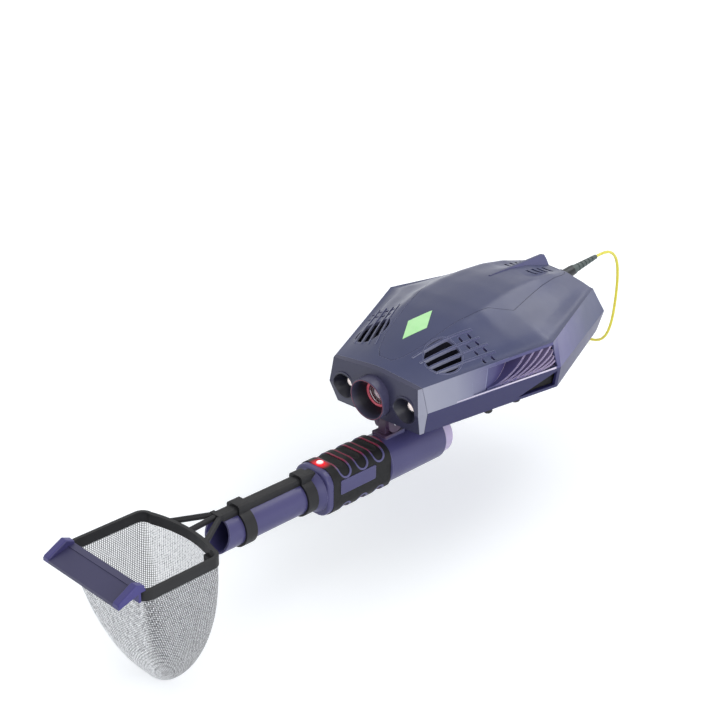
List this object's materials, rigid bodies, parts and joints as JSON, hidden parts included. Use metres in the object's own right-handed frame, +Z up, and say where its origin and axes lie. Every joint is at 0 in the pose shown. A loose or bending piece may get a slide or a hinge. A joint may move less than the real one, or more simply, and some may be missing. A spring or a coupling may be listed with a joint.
{
  "type": "underwater inspection rov",
  "caption": "Flat faceted underwater drone with front camera and lamps, side water scoops, a tilting suction wand with a landing net under the nose, and a wound tether",
  "frame": {"origin": "on the hull's middle plane at chine height, where the water's lift acts on the floating hull", "axes": "+Z up, nose towards -Y, port side towards +X"},
  "size_m": [0.2856, 0.7173, 0.1874],
  "materials": {
    "hull_upper": "satin moulded slate blue",
    "hull_lower": "satin moulded dark blue",
    "bezel": "satin moulded pale blue grey",
    "window": "light-diffusing green",
    "dark_plastic": "fine textured black",
    "louvre": "mauve grey",
    "duct": "moulded dark",
    "propeller": "glass-filled black",
    "motor_can": "anodised",
    "camera_ring": "deep red-violet",
    "glass_port": "polished",
    "optics": "polished",
    "case": "moulded",
    "board": "solder mask",
    "cell_wrap": "shrink wrap",
    "steel": "stainless",
    "rubber_foot": "moulded",
    "wand": "satin moulded violet",
    "cap": "translucent lilac",
    "grip": "overmoulded soft grip",
    "button": "lit red",
    "seal": "O-ring",
    "net_black": "fine textured black",
    "mesh": "knotless mesh cloth",
    "lip": "satin moulded violet",
    "connector": "machined",
    "boot": "moulded grey green",
    "cord": "polyurethane jacket yellow",
    "tie": "woven hook strap"
  },
  "bodies": {
    "hull": {"upper_shell": "hull_upper", "lower_shell": "hull_lower", "nose_bezel": "bezel", "canopy_panel": "hull_upper", "tail_fin": "hull_upper", "status_window": "window", "port_deck_grille": "hull_upper", "starboard_deck_grille": "hull_upper", "port_scoop_louvre": "louvre", "starboard_scoop_louvre": "louvre", "port_lift_duct": "duct", "starboard_lift_duct": "duct", "rear_lift_duct": "duct", "port_drive_duct": "duct", "starboard_drive_duct": "duct", "thruster_motors": "motor_can", "camera_barrel": "camera_ring", "camera_window": "glass_port", "camera_module": "optics", "lamp_lenses": "glass_port", "lamp_modules": "optics", "electronics_case": "case", "case_lid": "case", "battery_pack": "cell_wrap", "main_board": "board", "belly_feet": "rubber_foot", "ballast_plugs": "dark_plastic", "shell_screws": "steel", "neck_bracket": "dark_plastic", "neck_screws": "steel", "tilt_pin": "steel", "tether_socket": "connector", "tether_plug": "connector", "strain_relief": "boot", "tether": "cord", "tether_coil": "cord", "coil_ties": "tie", "tether_end_plug": "dark_plastic"},
    "port_lift_rotor": {"port_lift_propeller": "propeller"},
    "starboard_lift_rotor": {"starboard_lift_propeller": "propeller"},
    "rear_lift_rotor": {"rear_lift_propeller": "propeller"},
    "port_drive_rotor": {"port_drive_propeller": "propeller"},
    "starboard_drive_rotor": {"starboard_drive_propeller": "propeller"},
    "wand": {"wand_housing": "wand", "wand_cells": "cell_wrap", "grip_sleeve": "grip", "grip_panel": "wand", "grip_inlays": "wand", "suction_tube": "wand", "pump_motor": "motor_can", "tube_clips": "dark_plastic"},
    "cap": {"end_cap": "cap", "cap_seal": "seal"},
    "pump_rotor": {"impeller": "propeller"},
    "button": {"grip_button": "button"},
    "net": {"net_rail": "net_black", "net_frame": "net_black", "net_bag": "mesh", "front_lip": "lip"},
    "coupling_nut": {"tether_nut": "dark_plastic"}
  },
  "joints": [
    {"name": "port_lift_spin", "type": "hinge", "parent": "hull", "child": "port_lift_rotor", "pos_m": [0.04, -0.078, 0.006], "axis": [0, 0, 1], "continuous": true},
    {"name": "starboard_lift_spin", "type": "hinge", "parent": "hull", "child": "starboard_lift_rotor", "pos_m": [-0.04, -0.078, 0.006], "axis": [0, 0, 1], "continuous": true},
    {"name": "rear_lift_spin", "type": "hinge", "parent": "hull", "child": "rear_lift_rotor", "pos_m": [0, 0.09, 0.006], "axis": [0, 0, 1], "continuous": true},
    {"name": "port_drive_spin", "type": "hinge", "parent": "hull", "child": "port_drive_rotor", "pos_m": [0.04, 0.082, 0], "axis": [0, 1, 0], "continuous": true},
    {"name": "starboard_drive_spin", "type": "hinge", "parent": "hull", "child": "starboard_drive_rotor", "pos_m": [-0.04, 0.082, 0], "axis": [0, 1, 0], "continuous": true},
    {"name": "wand_tilt", "type": "hinge", "parent": "hull", "child": "wand", "pos_m": [0, -0.106, -0.0295], "axis": [-1, 0, 0], "range_deg": [-18, 12]},
    {"name": "cap_twist", "type": "hinge", "parent": "wand", "child": "cap", "pos_m": [0, -0.05452, -0.06918], "axis": [0, -0.9925, 0.1219], "range_deg": [0, 40]},
    {"name": "pump_spin", "type": "hinge", "parent": "wand", "child": "pump_rotor", "pos_m": [0, -0.17661, -0.05419], "axis": [0, -0.9925, 0.1219], "continuous": true},
    {"name": "button_press", "type": "slide", "parent": "wand", "child": "button", "axis": [0, -0.1219, -0.9925], "range_m": [0, 0.0012], "stiffness_N_per_m": 500},
    {"name": "net_slide", "type": "slide", "parent": "wand", "child": "net", "axis": [0, -0.9925, 0.1219], "range_m": [0, 0.012]},
    {"name": "nut_turn", "type": "hinge", "parent": "hull", "child": "coupling_nut", "pos_m": [0, 0.1385, 0.011], "axis": [0, 1, 0], "continuous": true}
  ]
}
